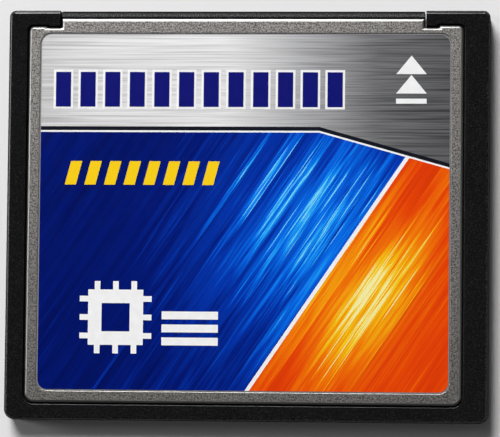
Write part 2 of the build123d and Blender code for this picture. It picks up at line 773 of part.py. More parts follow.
def under_header():
    """Print area that is left below the divider."""
    below = header_edge(DIVIDER_END) + [(PRINT_RIGHT, PRINT_REAR), (PRINT_LEFT, PRINT_REAR)]
    return print_area() & polygon(below)


def diagonal_strip(near, far):
    """Face between two copies of the slanting line, cut to the area under the divider."""
    foot_near, head_near = diagonal_edge(near)
    foot_far, head_far = diagonal_edge(far)
    return under_header() & polygon([foot_near, foot_far, head_far, head_near])


def silver_print():
    """Brushed silver header field."""
    above = header_edge(0) + [(PRINT_RIGHT, PRINT_FRONT), (PRINT_LEFT, PRINT_FRONT)]
    return plate(print_area() & polygon(above), FIELD_LEVEL, MOTIF_LEVEL)


def black_print():
    """Dark divider under the header."""
    return plate(header_strip(0, DIVIDER_WIDTH), FIELD_LEVEL, MOTIF_LEVEL)


def navy_print():
    """Deep blue field left of the slanting line."""
    return plate(diagonal_strip(-PRINT_WIDTH, 0), FIELD_LEVEL, MOTIF_LEVEL)


def azure_print():
    """Lighter blue bands parallel to the slanting line, narrower with distance from it."""
    bands = []
    for i in range(BLUE_BAND_COUNT):
        near = -BLUE_BAND_START - i * BLUE_BAND_STEP
        width = BLUE_BAND_WIDTH * (BLUE_BAND_COUNT - i) / BLUE_BAND_COUNT
        face = diagonal_strip(near - width, near)
        for motif in icon_faces() + stack_faces() + dash_faces():
            face -= motif
        bands.append(plate(face, MOTIF_LEVEL, PAD_LEVEL))
    return Compound(bands)


def red_print():
    """Warm red field right of the slanting line."""
    return plate(diagonal_strip(DIAGONAL_LINE, PRINT_WIDTH), FIELD_LEVEL, MOTIF_LEVEL)


def warm_edges():
    """Shifts of the four edges of the orange, yellow and outer orange bands."""
    first = DIAGONAL_LINE + RED_BAND
    second = first + ORANGE_BAND
    third = second + YELLOW_BAND
    return first, second, third, third + OUTER_ORANGE_BAND


def orange_print():
    """Orange bands over the red field, on both sides of the yellow one."""
    first, second, third, fourth = warm_edges()
    faces = [diagonal_strip(first, second), diagonal_strip(third, fourth)]
    return Compound([plate(face, MOTIF_LEVEL, PAD_LEVEL) for face in faces])


def slanted_dash(x, y):
    """One dash that leans to the right, with its lower left corner at a point."""
    top = y + DASH_HEIGHT
    return polygon(
        [
            (x, y),
            (x + DASH_WIDTH, y),
            (x + DASH_WIDTH + DASH_SLANT, top),
            (x + DASH_SLANT, top),
        ]
    )


def dash_faces():
    """Row of leaning dashes on the blue field."""
    y = PRINT_FRONT - DASH_DOWN - DASH_HEIGHT
    return [slanted_dash(PRINT_LEFT + DASH_LEFT + i * DASH_PITCH, y) for i in range(DASH_COUNT)]


def yellow_print():
    """Yellow band between the orange ones, and the row of dashes."""
    edges = warm_edges()
    faces = [diagonal_strip(edges[1], edges[2])] + dash_faces()
    return Compound([plate(face, MOTIF_LEVEL, PAD_LEVEL) for face in faces])


def pad_columns():
    """Middles of the upright pads in the header."""
    count = count_at_pitch(PRINT_WIDTH - PAD_LEFT - PAD_RIGHT - PAD_WIDTH, PAD_PITCH)
    first = PRINT_LEFT + PAD_LEFT + PAD_WIDTH / 2
    return [first + i * PAD_PITCH for i in range(count)]


def header_pads(grow):
    """Faces of the upright pads, made larger by grow on every side."""
    pad = Rectangle(PAD_WIDTH + 2 * grow, PAD_HEIGHT + 2 * grow)
    y = PRINT_FRONT - PAD_DOWN
    return [Pos(x, y, 0) * pad for x in pad_columns()]


def blue_print():
    """Dark blue pads in the header, on their white outlines."""
    top = PAD_LEVEL + PRINT_THICKNESS
    return Compound([plate(pad, PAD_LEVEL, top) for pad in header_pads(0)])


def arrow_faces():
    """Two stacked triangles that point to the connector, over a plain bar for the slot."""
    x = PRINT_RIGHT - ARROW_RIGHT
    half = ARROW_WIDTH / 2
    faces = []
    for i in range(2):
        tip = PRINT_FRONT - ARROW_DOWN - i * ARROW_STEP
        base = tip - ARROW_HEIGHT
        faces.append(polygon([(x - half, base), (x + half, base), (x, tip)]))
    bar_top = base - SLOT_BAR_GAP
    bar = corners_of(x - half, x + half, bar_top - SLOT_BAR_HEIGHT, bar_top)
    return faces + [polygon(bar)]


def icon_faces():
    """Plain chip symbol: a square ring with legs on all four sides."""
    x = PRINT_LEFT + ICON_LEFT + ICON_LEG_LENGTH + ICON_SIZE / 2
    y = PRINT_REAR + ICON_UP + ICON_LEG_LENGTH + ICON_SIZE / 2
    face = Rectangle(ICON_SIZE, ICON_SIZE) - Rectangle(ICON_HOLE, ICON_HOLE)
    leg = Rectangle(ICON_LEG_LENGTH, ICON_LEG_WIDTH)
    reach = (ICON_SIZE + ICON_LEG_LENGTH) / 2
    pitch = ICON_SIZE / ICON_LEG_COUNT
    for angle in (0, 90, 180, 270):
        for offset in spread(ICON_LEG_COUNT, pitch):
            face += Rot(0, 0, angle) * Pos(reach, offset, 0) * leg
    return [Pos(x, y, 0) * face]


def stack_faces():
    """Three plain bars beside the chip symbol."""
    x0 = PRINT_LEFT + ICON_LEFT + 2 * ICON_LEG_LENGTH + ICON_SIZE + STACK_GAP
    y0 = PRINT_REAR + ICON_UP + ICON_LEG_LENGTH
    rows = [y0 + i * STACK_STEP for i in range(STACK_COUNT)]
    return [polygon(corners_of(x0, x0 + STACK_WIDTH, y, y + STACK_HEIGHT)) for y in rows]


def white_print():
    """White lines beside the fields, the outlines of the pads, and the plain symbols."""
    lines = [header_strip(DIVIDER_WIDTH, DIVIDER_END), diagonal_strip(0, DIAGONAL_LINE)]
    motifs = header_pads(PAD_OUTLINE) + arrow_faces() + icon_faces() + stack_faces()
    solids = [plate(face, FIELD_LEVEL, MOTIF_LEVEL) for face in lines]
    solids += [plate(face, MOTIF_LEVEL, PAD_LEVEL) for face in motifs]
    return Compound(solids)


def frame_and_covers():
    """The casing: moulded frame and the two pressed covers."""
    front_cover = cover()
    return {"frame": frame(), "front_cover": front_cover, "rear_cover": flip(front_cover)}


def connector_nodes():
    """The socket block and its two rows of contacts."""
    contacts = contact_row()
    return {
        "connector_housing": connector_housing(),
        "upper_contacts": contacts,
        "lower_contacts": flip(contacts),
    }


def label_side_nodes():
    """The board and the two flash chips on its label side."""
    nodes = {"circuit_board": circuit_board()}
    for side, place in zip(("left", "right"), flash_places()):
        nodes[f"flash_chip_{side}"] = place * flash_chip()
        nodes[f"flash_leads_{side}"] = place * flash_leads()
    return nodes


def rear_side_nodes():
    """What stands on the other side of the board, drawn on the label side and flipped."""
    controller = controller_place()
    regulator = in_column(INNER_COLUMN, REGULATOR_Y)
    crystal = in_column(INNER_COLUMN, CRYSTAL_Y)
    capacitor_bodies, capacitor_caps = capacitors()
    resistor_bodies, resistor_caps = resistors()
    drawn = {
        "controller_chip": controller * controller_chip(),
        "controller_leads": controller * controller_leads(),
        "voltage_regulator": regulator
        * bevelled_body(REGULATOR_WIDTH, REGULATOR_LENGTH, REGULATOR_THICKNESS),
        "regulator_leads": regulator * regulator_leads(),
        "crystal_base": crystal * standing(CRYSTAL_WIDTH, CRYSTAL_LENGTH, CRYSTAL_HEIGHT),
        "crystal_lid": crystal * crystal_lid(),
        "capacitors": capacitor_bodies,
        "capacitor_caps": capacitor_caps,
        "resistors": resistor_bodies,
        "resistor_caps": resistor_caps,
    }
    return {name: flip(shape) for name, shape in drawn.items()}


def label_nodes():
    """The label film and the fields of colour printed on it."""
    return {
        "label_film": label_film(),
        "label_silver": silver_print(),
        "label_black": black_print(),
        "label_navy": navy_print(),
        "label_azure": azure_print(),
        "label_red": red_print(),
        "label_orange": orange_print(),
        "label_yellow": yellow_print(),
        "label_white": white_print(),
        "label_blue": blue_print(),
    }


groups = (
    frame_and_covers(),
    connector_nodes(),
    label_side_nodes(),
    rear_side_nodes(),
    label_nodes(),
)
os.makedirs("parts", exist_ok=True)
for group in groups:
    for name, shape in group.items():
        export_step(shape, f"parts/{name}.step")
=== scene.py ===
import math

import bmesh
import bpy
from mathutils import Matrix, Vector


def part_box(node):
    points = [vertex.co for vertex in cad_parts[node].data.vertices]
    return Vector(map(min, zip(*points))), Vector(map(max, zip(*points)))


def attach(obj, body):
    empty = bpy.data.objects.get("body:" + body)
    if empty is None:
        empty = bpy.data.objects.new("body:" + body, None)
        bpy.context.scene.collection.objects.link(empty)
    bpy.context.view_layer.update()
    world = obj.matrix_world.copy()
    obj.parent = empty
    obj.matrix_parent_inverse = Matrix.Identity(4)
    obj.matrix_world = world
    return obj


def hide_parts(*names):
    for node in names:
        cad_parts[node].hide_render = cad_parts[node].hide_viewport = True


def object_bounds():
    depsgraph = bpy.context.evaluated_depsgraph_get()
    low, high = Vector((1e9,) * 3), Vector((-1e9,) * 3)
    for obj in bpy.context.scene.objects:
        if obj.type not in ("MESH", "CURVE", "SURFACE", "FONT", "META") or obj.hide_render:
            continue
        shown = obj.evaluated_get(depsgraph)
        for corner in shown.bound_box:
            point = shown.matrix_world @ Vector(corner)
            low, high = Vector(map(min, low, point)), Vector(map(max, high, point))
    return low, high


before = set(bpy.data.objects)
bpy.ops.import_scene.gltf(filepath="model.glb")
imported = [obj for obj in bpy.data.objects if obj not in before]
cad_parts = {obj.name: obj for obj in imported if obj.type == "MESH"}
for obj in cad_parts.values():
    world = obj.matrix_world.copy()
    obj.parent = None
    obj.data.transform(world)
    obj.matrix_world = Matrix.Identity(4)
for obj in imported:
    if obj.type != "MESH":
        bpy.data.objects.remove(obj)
cad_low, cad_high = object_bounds()

MM = 0.001

# Camera, fitted to the four corners of the card in the photograph
VIEW_DISTANCE = 300 * MM
VIEW_TILT_RIGHT = math.radians(4.69)
VIEW_TILT_REAR = math.radians(3.87)
VIEW_ROLL = math.radians(-0.617)
VIEW_AIM = (0.315 * MM, -0.304 * MM)
VIEW_LENS = 244.6

# Places on the label, in millimetres, as the print is laid out
PRINT_MARGIN = 0.08
HEADER_HEIGHT = 8.2
DIAGONAL_FOOT = 18.4
DIAGONAL_HEAD = 2.1


def label_places():
    """Foot of the slanting line, its direction and its normal to the right, in millimetres."""
    low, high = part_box("label_film")
    foot = Vector((low[0] / MM + PRINT_MARGIN + DIAGONAL_FOOT, low[1] / MM + PRINT_MARGIN, 0))
    head = Vector(
        (
            high[0] / MM - PRINT_MARGIN - DIAGONAL_HEAD,
            high[1] / MM - PRINT_MARGIN - HEADER_HEIGHT,
            0,
        )
    )
    along = (head - foot).normalized()
    across = Vector((along.y, -along.x, 0))
    return foot, along, across


LINE_FOOT, LINE_ALONG, LINE_ACROSS = label_places()

# Most of any noise lies between these values
NOISE_RANGE = (0.3, 0.7)


class Graph:
    """A node tree under construction: each method adds nodes and returns their output."""

    def __init__(self, tree, last):
        self.nodes = tree.nodes
        self.links = tree.links
        self.last = self.nodes[last]

    def set(self, socket, value):
        """Sets or wires one input of the tree's last shader."""
        if isinstance(value, bpy.types.NodeSocket):
            self.links.new(value, self.last.inputs[socket])
        else:
            self.last.inputs[socket].default_value = value

    def put(self, kind, values, **options):
        """Adds one node with its options and its inputs, given as numbers or as outputs."""
        node = self.nodes.new(kind)
        for option, value in options.items():
            setattr(node, option, value)
        for socket, value in values.items():
            if isinstance(value, bpy.types.NodeSocket):
                self.links.new(value, node.inputs[socket])
            else:
                node.inputs[socket].default_value = value
        return node

    def stretch(self, place, x, y, z=1.0):
        """Position squeezed by a grain size on each axis, so that one unit is one grain."""
        values = {0: place, 1: (x, y, z)}
        return self.put("ShaderNodeVectorMath", values, operation="DIVIDE").outputs["Vector"]

    def axis(self, place, number):
        """One coordinate of a position: 0, 1 or 2."""
        return self.put("ShaderNodeSeparateXYZ", {0: place}).outputs[number]

    def along(self, place, direction, origin=Vector((0, 0, 0))):
        """Distance of a position from an origin along a direction."""
        shifted = self.put("ShaderNodeVectorMath", {0: place, 1: origin}, operation="SUBTRACT")
        values = {0: shifted.outputs["Vector"], 1: direction}
        return self.put("ShaderNodeVectorMath", values, operation="DOT_PRODUCT").outputs["Value"]

    def join(self, x, y, z=0.0):
        """Vector from three numbers."""
        return self.put("ShaderNodeCombineXYZ", {0: x, 1: y, 2: z}).outputs["Vector"]

    def length(self, vector):
        """Length of a vector."""
        return self.put("ShaderNodeVectorMath", {0: vector}, operation="LENGTH").outputs["Value"]

    def noise(self, place, detail=2.0, roughness=0.5):
        """Smooth noise from 0 to 1 with grains about one unit wide."""
        values = {"Vector": place, "Scale": 1.0, "Detail": detail, "Roughness": roughness}
        return self.put("ShaderNodeTexNoise", values, noise_dimensions="3D").outputs[0]

    def grains(self, place, size, detail=2.0):
        """Noise with round grains of a size."""
        return self.noise(self.stretch(place, size, size, size), detail=detail)

    def calc(self, operation, a, b=0.0):
        """Arithmetic on two numbers."""
        return self.put("ShaderNodeMath", {0: a, 1: b}, operation=operation).outputs[0]

    def plus(self, a, b):
        """Sum of two numbers."""
        return self.calc("ADD", a, b)

    def minus(self, a, b):
        """First number less the second."""
        return self.calc("SUBTRACT", a, b)

    def times(self, a, b):
        """Product of two numbers."""
        return self.calc("MULTIPLY", a, b)

    def spread(self, value, low, high, to_low=0.0, to_high=1.0):
        """Value stretched from one range to another, held at both ends."""
        values = {"Value": value, 1: low, 2: high, 3: to_low, 4: to_high}
        return self.put("ShaderNodeMapRange", values).outputs["Result"]

    def vary(self, noise, low, high):
        """Noise stretched so that most of it runs from one value to another."""
        return self.spread(noise, *NOISE_RANGE, low, high)

    def masked(self, mask, value):
        """One where a mask is 0, and a value where the mask is 1."""
        return self.spread(mask, 0.0, 1.0, 1.0, value)

    def smooth(self, value, low, high):
        """Soft step from 0 at one value to 1 at another."""
        values = {"Value": value, 1: low, 2: high}
        node = self.put("ShaderNodeMapRange", values, interpolation_type="SMOOTHSTEP")
        return node.outputs["Result"]

    def ramp(self, value, low, high, stops):
        """Colour at a value between low and high; each stop is a value and a colour."""
        factor = self.spread(value, low, high)
        node = self.put("ShaderNodeValToRGB", {"Fac": factor})
        elements = node.color_ramp.elements
        while len(elements) < len(stops):
            elements.new(1.0)
        for element, (at, colour) in zip(elements, stops):
            element.position = (at - low) / (high - low)
            element.color = opaque(colour)
        return node.outputs["Color"]

    def tint(self, colour, shade):
        """Colour, or another vector, multiplied by a number."""
        values = {0: colour, "Scale": shade}
        return self.put("ShaderNodeVectorMath", values, operation="SCALE").outputs["Vector"]

    def mix(self, factor, first, second):
        """Blend of two colours."""
        node = self.put("ShaderNodeMix", {0: factor, 6: first, 7: second}, data_type="RGBA")
        return node.outputs[2]


# How level a face is, from 0 for upright to 1 for level: where a worn edge fades on either side
LEVEL_END = (0.980, 0.998)
UPRIGHT_END = (0.50, 0.75)


class Surface(Graph):
    """A material under construction, with a position in millimetres."""

    def __init__(self, name, **settings):
        self.material = bpy.data.materials.new(name)
        self.material.use_nodes = True
        super().__init__(self.material.node_tree, "Principled BSDF")
        for socket, value in settings.items():
            self.set(socket.replace("_", " "), value)

    def place(self):
        """Position on the card, in millimetres."""
        coordinate = self.put("ShaderNodeTexCoord", {}).outputs["Object"]
        return self.tint(coordinate, 1 / MM)

    def worn_edge(self):
        """Mask that is 1 on surfaces that slope, and 0 on level and on upright ones."""
        normal = self.put("ShaderNodeTexCoord", {}).outputs["Normal"]
        level = self.calc("ABSOLUTE", self.axis(normal, 2))
        off_level = self.spread(level, *LEVEL_END, 1.0, 0.0)
        off_upright = self.spread(level, *UPRIGHT_END)
        return self.times(off_level, off_upright)

    def depth(self, place):
        """Distance of a position from the nearer of the card's two large faces."""
        height = self.axis(place, 2)
        above_bottom = self.minus(height, cad_low.z / MM)
        below_top = self.minus(cad_high.z / MM, height)
        return self.calc("MINIMUM", above_bottom, below_top)

    def bump(self, height, depth):
        """Raises the surface by a height from 0 to 1, times a depth in metres."""
        values = {"Height": height, "Distance": depth, "Strength": 1.0}
        self.set("Normal", self.put("ShaderNodeBump", values).outputs["Normal"])


def opaque(colour):
    """Colour with full alpha."""
    return (*colour, 1.0)


# In the values of the materials, sizes of grains and marks are in millimetres, the depth of a
# relief is in metres, a shade is a factor on a colour, a range is the part of a noise that is
# stretched, and a matt value is a roughness.

PLASTIC_SPECULAR = 0.12
PLASTIC_PIT_RANGE = (0.35, 0.55)
PLASTIC_PIT_SHADES = (0.1, 0.9)
PLASTIC_SPECK_RANGE = (0.54, 0.72)
PLASTIC_SPECK_SHADE = 4.5
PLASTIC_CLOUD = 3.0
PLASTIC_CLOUD_SHADES = (-0.1, 0.2)
PLASTIC_MATT_SPREAD = 0.06
PLASTIC_COAT_MATT = 0.2
PLASTIC_EDGE_SHADE = 1.8
PLASTIC_EDGE_MATT = 0.5
PLASTIC_EDGE_GRAIN = 0.1
# Painted highlight: how much lighter the band along the connector's front is
PLASTIC_PAINTED_HIGHLIGHT = 15.0


def band_mask(surface, place, start, middle, end):
    """Mask of a band along the card's front, which is 1 along its middle."""
    inwards = surface.minus(cad_high.y / MM, surface.axis(place, 1))
    rise = surface.smooth(inwards, start, middle)
    return surface.times(rise, surface.smooth(inwards, end, middle))


def moulded_black(name, colour, grain, depth, roughness, painted_highlight=None):
    """Black moulded plastic: matt eroded faces with light specks, and polished, greyer edges.

    A part given a painted highlight has dull edges and a greyer band, a painted highlight along
    the front where a rounded nose catches the light. The three numbers are the distances from the
    card's front at which the band starts, is at its greyest and ends.
    """
    surface = Surface(name, Specular_IOR_Level=PLASTIC_SPECULAR, Coat_Roughness=PLASTIC_COAT_MATT)
    place = surface.place()
    fine = surface.grains(place, grain, detail=1.0)
    pits = surface.spread(fine, *PLASTIC_PIT_RANGE, *PLASTIC_PIT_SHADES)
    specks = surface.spread(fine, *PLASTIC_SPECK_RANGE, 0.0, PLASTIC_SPECK_SHADE)
    cloud = surface.vary(surface.grains(place, PLASTIC_CLOUD), *PLASTIC_CLOUD_SHADES)
    shade = surface.plus(surface.plus(pits, specks), cloud)
    matt = surface.vary(fine, roughness - PLASTIC_MATT_SPREAD, roughness + PLASTIC_MATT_SPREAD)
    if painted_highlight is None:
        edge = surface.worn_edge()
        surface.set("Coat Weight", edge)
        shade = surface.times(shade, surface.masked(edge, PLASTIC_EDGE_SHADE))
        matt = surface.times(matt, surface.masked(edge, PLASTIC_EDGE_MATT))
        fine = surface.times(fine, surface.masked(edge, PLASTIC_EDGE_GRAIN))
    else:
        # Painted highlight: a greyer band along the front, where the rounded nose catches the
        # light
        band = band_mask(surface, place, *painted_highlight)
        shade = surface.times(shade, surface.masked(band, PLASTIC_PAINTED_HIGHLIGHT))
    surface.set("Base Color", surface.tint(colour, shade))
    surface.set("Roughness", matt)
    surface.bump(fine, depth)
    return surface.material


STEEL_FACE = (0.150, 0.143, 0.136)
STEEL_EDGE = (0.62, 0.61, 0.59)
STEEL_GRAIN = 0.14
STEEL_GRAIN_RANGE = (0.36, 0.64)
STEEL_GRAIN_SHADES = (0.40, 1.70)
STEEL_GRAIN_DEPTH = 0.006 * MM
STEEL_CLOUD = 1.1
STEEL_CLOUD_SHADES = (0.94, 1.06)
STEEL_MATT_RANGE = (0.35, 0.65)
STEEL_MATT = (0.50, 0.40)
STEEL_EDGE_MATT = 0.8

# Painted shade on the covers' tabs, deep in the gap in the frame: the distance from the card's
# faces in millimetres over which it darkens them, and how dark they end
TAB_DISTANCE = (0.45, 0.80)
TAB_PAINTED_SHADE = 0.12


def blasted_steel():
    """Bead-blasted sheet with fine light and dark grains, burnished along its edges.

    Painted shade darkens its tabs, deep in the frame.
    """
    surface = Surface("blasted_steel", Metallic=1.0)
    place = surface.place()
    grain = surface.grains(place, STEEL_GRAIN)
    cloud = surface.vary(surface.grains(place, STEEL_CLOUD), *STEEL_CLOUD_SHADES)
    # Painted shade on the tabs, where the gap between cover and frame lies in shade
    tabs = surface.spread(surface.depth(place), *TAB_DISTANCE, 1.0, TAB_PAINTED_SHADE)
    shade = surface.times(surface.spread(grain, *STEEL_GRAIN_RANGE, *STEEL_GRAIN_SHADES), cloud)
    face = surface.tint(STEEL_FACE, surface.times(shade, tabs))
    edge = surface.worn_edge()
    surface.set("Base Color", surface.mix(edge, face, opaque(STEEL_EDGE)))
    matt = surface.spread(grain, *STEEL_MATT_RANGE, *STEEL_MATT)
    surface.set("Roughness", surface.times(matt, surface.masked(edge, STEEL_EDGE_MATT)))
    surface.bump(grain, STEEL_GRAIN_DEPTH)
    return surface.material


PLATING_MARK_WIDTH = 0.05
PLATING_MARK_LENGTH = 0.9
PLATING_MARK_SHADES = (0.88, 1.08)
PLATING_MARK_DEPTH = 0.002 * MM
PLATING_SMOOTHER = 0.06
PLATING_ROUGHER = 0.08


def plated(name, colour, roughness):
    """Thin metal plating with faint drawing marks and a slightly uneven tone."""
    surface = Surface(name, Metallic=1.0)
    width, length = PLATING_MARK_WIDTH, PLATING_MARK_LENGTH
    marks = surface.noise(surface.stretch(surface.place(), width, length, width), detail=3.0)
    shade = surface.vary(marks, *PLATING_MARK_SHADES)
    matt = surface.vary(marks, roughness - PLATING_SMOOTHER, roughness + PLATING_ROUGHER)
    surface.set("Base Color", surface.tint(colour, shade))
    surface.set("Roughness", matt)
    surface.bump(marks, PLATING_MARK_DEPTH)
    return surface.material


MASK_MATT = 0.28
MASK_GROUND = (0.012, 0.13, 0.05)
MASK_PATCH = (0.014, 0.15, 0.06)
MASK_TRACK = (0.035, 0.26, 0.10)
MASK_TRACK_WIDTH = 0.06
MASK_TRACK_LENGTH = 2.4
MASK_TRACK_PITCH = 0.5
MASK_TRACK_DEPTH = 0.01 * MM
MASK_WEAVE = 0.3
MASK_WEAVE_SHADES = (0.85, 1.1)


def solder_mask():
    """Green board: a glossy mask over faint tracks and the weave of the laminate."""
    surface = Surface("solder_mask", Roughness=MASK_MATT)
    place = surface.place()
    tracks = surface.put(
        "ShaderNodeTexBrick",
        {
            "Vector": place,
            "Color1": opaque(MASK_GROUND),
            "Color2": opaque(MASK_PATCH),
            "Mortar": opaque(MASK_TRACK),
            "Scale": 1.0,
            "Mortar Size": MASK_TRACK_WIDTH,
            "Brick Width": MASK_TRACK_LENGTH,
            "Row Height": MASK_TRACK_PITCH,
        },
    )
    weave = surface.vary(surface.grains(place, MASK_WEAVE), *MASK_WEAVE_SHADES)
    surface.set("Base Color", surface.tint(tracks.outputs["Color"], weave))
    surface.bump(tracks.outputs["Fac"], MASK_TRACK_DEPTH)
    return surface.material


CERAMIC_MATT = 0.62
CERAMIC_SHADES = (0.75, 1.2)
CERAMIC_GRAIN_DEPTH = 0.004 * MM


def fired(name, colour, grain):
    """Fired ceramic: matt, with fine specks."""
    surface = Surface(name, Roughness=CERAMIC_MATT)
    specks = surface.grains(surface.place(), grain, detail=4.0)
    surface.set("Base Color", surface.tint(colour, surface.vary(specks, *CERAMIC_SHADES)))
    surface.bump(specks, CERAMIC_GRAIN_DEPTH)
    return surface.material


FILM_SPECULAR = 0.35
FILM_MATT = (0.12, 0.15)
FILM_PEEL = 1.2
FILM_PEEL_DEPTH = 0.001 * MM
INK_CLOUD = 0.6
INK_SHADES = (0.97, 1.03)


def printed(name):
    """Ink under a clear glossy film. The caller sets the colour."""
    surface = Surface(name, Specular_IOR_Level=FILM_SPECULAR)
    place = surface.place()
    peel = surface.grains(place, FILM_PEEL)
    surface.set("Roughness", surface.vary(peel, *FILM_MATT))
    surface.bump(peel, FILM_PEEL_DEPTH)
    return surface, place


def plain_print(name, colour):
    """One colour of ink, with a faint unevenness."""
    surface, place = printed(name)
    shade = surface.vary(surface.grains(place, INK_CLOUD), *INK_SHADES)
    surface.set("Base Color", surface.tint(colour, shade))
    return surface.material


# Header field: strokes and bands are a length and a width, and places are shares of its width.
# The bands shift its colours by up to the drift. The waver is how far a stroke's shade strays,
# before the contrast, which grows from the dark start to the right edge.
HEADER_METALLIC = 0.25
HEADER_SPECULAR = 0.3
HEADER_STROKE = (8.0, 0.11)
HEADER_STROKE_DEPTH = 0.004 * MM
HEADER_BAND = (12.0, 0.24)
HEADER_DRIFT = 1.6
HEADER_COLOURS = [
    (0.0, (0.49, 0.485, 0.49)),
    (0.16, (0.63, 0.625, 0.63)),
    (0.46, (0.66, 0.655, 0.66)),
    (0.64, (0.37, 0.37, 0.38)),
    (0.82, (0.11, 0.11, 0.115)),
    (1.0, (0.065, 0.065, 0.07)),
]
HEADER_WAVER_RANGE = (0.7, 1.2)
HEADER_WAVER = (-1.0, 0.8)
HEADER_DARK_START = 0.5
HEADER_CONTRAST = (0.20, 0.75)
HEADER_MATT = (0.50, 0.42)


def brushed_header():
    """Metallic header field: long level strokes, from bright on the left to dark on the right."""
    surface = Surface(
        "brushed_header", Metallic=HEADER_METALLIC, Specular_IOR_Level=HEADER_SPECULAR
    )
    place = surface.place()
    across = surface.axis(place, 0)
    strokes = surface.noise(surface.stretch(place, *HEADER_STROKE), detail=1.0, roughness=0.7)
    bands = surface.noise(surface.stretch(place, *HEADER_BAND), detail=1.0)
    low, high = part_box("label_silver")
    left, right = low[0] / MM, high[0] / MM
    width = right - left
    drift = surface.plus(across, surface.vary(bands, -HEADER_DRIFT, HEADER_DRIFT))
    stops = [(left + share * width, colour) for share, colour in HEADER_COLOURS]
    colour = surface.ramp(drift, left, right, stops)
    darker = surface.smooth(across, left + HEADER_DARK_START * width, right)
    contrast = surface.spread(darker, 0.0, 1.0, *HEADER_CONTRAST)
    both = surface.plus(strokes, bands)
    waver = surface.spread(both, *HEADER_WAVER_RANGE, *HEADER_WAVER)
    shade = surface.plus(surface.times(waver, contrast), 1.0)
    surface.set("Base Color", surface.tint(colour, shade))
    surface.set("Roughness", surface.vary(strokes, *HEADER_MATT))
    surface.bump(strokes, HEADER_STROKE_DEPTH)
    return surface.material


# Colours of the fields of light, each at an amount of light from 0 to 1
BLUES = [
    (0.0, (0.0002, 0.0012, 0.040)),
    (0.25, (0.0002, 0.0095, 0.190)),
    (0.5, (0.0006, 0.040, 0.46)),
    (0.75, (0.002, 0.17, 0.90)),
    (0.95, (0.020, 0.46, 1.0)),
    (1.0, (0.22, 0.70, 1.0)),
]
WARMS = [
    (0.0, (0.60, 0.012, 0.0012)),
    (0.3, (0.86, 0.062, 0.0015)),
    (0.55, (0.97, 0.19, 0.002)),
    (0.8, (1.0, 0.50, 0.006)),
    (0.9, (1.0, 0.68, 0.012)),
    (1.0, (1.0, 0.92, 0.42)),
]

# Streaks of light: how many times longer than wide they are, and the factor that they put on
# the light. Threads are thin and bright, and add to that factor.
STREAK_STRETCH = 30.0
STREAK_LIGHT = (0.62, 1.38)
THREAD_WIDTH = 0.16
THREAD_LENGTH = 12.0
THREAD_RANGE = (0.60, 0.75)
THREAD_LIGHT = 0.9

# Half the width over which the light changes at the slanting line
LINE_BLUR = 0.5


def nearness(surface, across, along, centre, reach):
    """Mask that falls from 1 at a centre to 0 at a reach round it."""
    sideways = surface.calc("DIVIDE", surface.minus(across, centre[0]), reach[0])
    lengthways = surface.calc("DIVIDE", surface.minus(along, centre[1]), reach[1])
    return surface.smooth(surface.length(surface.join(sideways, lengthways)), 1.0, 0.0)


def streaks_and_threads(surface, on_line, streak):
    """Factor on the light: soft streaks along the line, and thin bright threads."""
    coarse = surface.stretch(on_line, streak, STREAK_STRETCH * streak)
    streaks = surface.vary(surface.noise(coarse, detail=3.0, roughness=0.6), *STREAK_LIGHT)
    fine = surface.noise(surface.stretch(on_line, THREAD_WIDTH, THREAD_LENGTH))
    threads = surface.spread(fine, *THREAD_RANGE, 0.0, THREAD_LIGHT)
    return surface.plus(streaks, threads)


def light_field(name, stops, level, glow, centre, reach, streak, beyond=None):
    """Print whose light rises from a level by a glow round a point beside the slanting line.

    The centre and the reach are each a distance across the line and one along it. Print on
    the other side of the line takes the light given by beyond.
    """
    surface, place = printed(name)
    across = surface.along(place, LINE_ACROSS, LINE_FOOT)
    along = surface.along(place, LINE_ALONG, LINE_FOOT)
    near = nearness(surface, across, along, centre, reach)
    light = surface.plus(surface.times(near, glow), level)
    lively = streaks_and_threads(surface, surface.join(across, along), streak)
    light = surface.times(light, lively)
    if beyond is not None:
        right_of_line = surface.spread(across, -LINE_BLUR, LINE_BLUR)
        light = surface.spread(right_of_line, 0.0, 1.0, beyond, light)
    surface.set("Base Color", surface.ramp(light, 0.0, 1.0, stops))
    return surface.material


def blue_field():
    """Blue field: deep, with a wide glow beside the slanting line."""
    return light_field(
        "blue_field",
        BLUES,
        level=0.18,
        glow=0.54,
        centre=(0.5, 15.0),
        reach=(21.0, 24.0),
        streak=0.5,
    )


def azure_bands():
    """Lighter bands: they glow towards the middle of the field and fade at both ends."""
    return light_field(
        "azure_bands",
        BLUES,
        level=0.30,
        glow=0.58,
        centre=(-5.0, 16.0),
        reach=(14.0, 14.0),
        streak=0.25,
    )


def red_field():
    """Red field, darkest in the far corner."""
    return light_field(
        "red_field",
        WARMS,
        level=0.26,
        glow=0.40,
        centre=(0.0, 12.5),
        reach=(13.0, 17.0),
        streak=0.45,
    )


def orange_field():
    """Orange bands on both sides of the yellow one, brighter towards it."""
    return light_field(
        "orange_field",
        WARMS,
        level=0.20,
        glow=0.64,
        centre=(5.0, 12.5),
        reach=(6.0, 14.0),
        streak=0.45,
    )


def yellow_field():
    """Yellow band, palest in its middle, and the dashes of the same ink."""
    return light_field(
        "yellow_field",
        WARMS,
        level=0.40,
        glow=0.54,
        centre=(5.1, 12.5),
        reach=(8.0, 11.0),
        streak=0.3,
        beyond=0.89,
    )


# Rounding of the edges, which the solids leave sharp or bevelled. A zone is how far the edges
# of one kind lie, at most, from the card's outer faces.
RIM_ZONE = 0.22 * MM
RIM_ROUNDING = 0.13 * MM
LIP_ROUNDING = 0.03 * MM
FACE_ZONE = 0.24 * MM
SHEET_ROUNDING = 0.02 * MM
NOSE_ZONE = 0.30 * MM
NOSE_LENGTH = 10 * MM
NOSE_ROUNDING = 0.13 * MM
ROUNDING_STEPS = 4
ROUND_PROFILE = 0.5
MERGE_DISTANCE = 0.0002 * MM

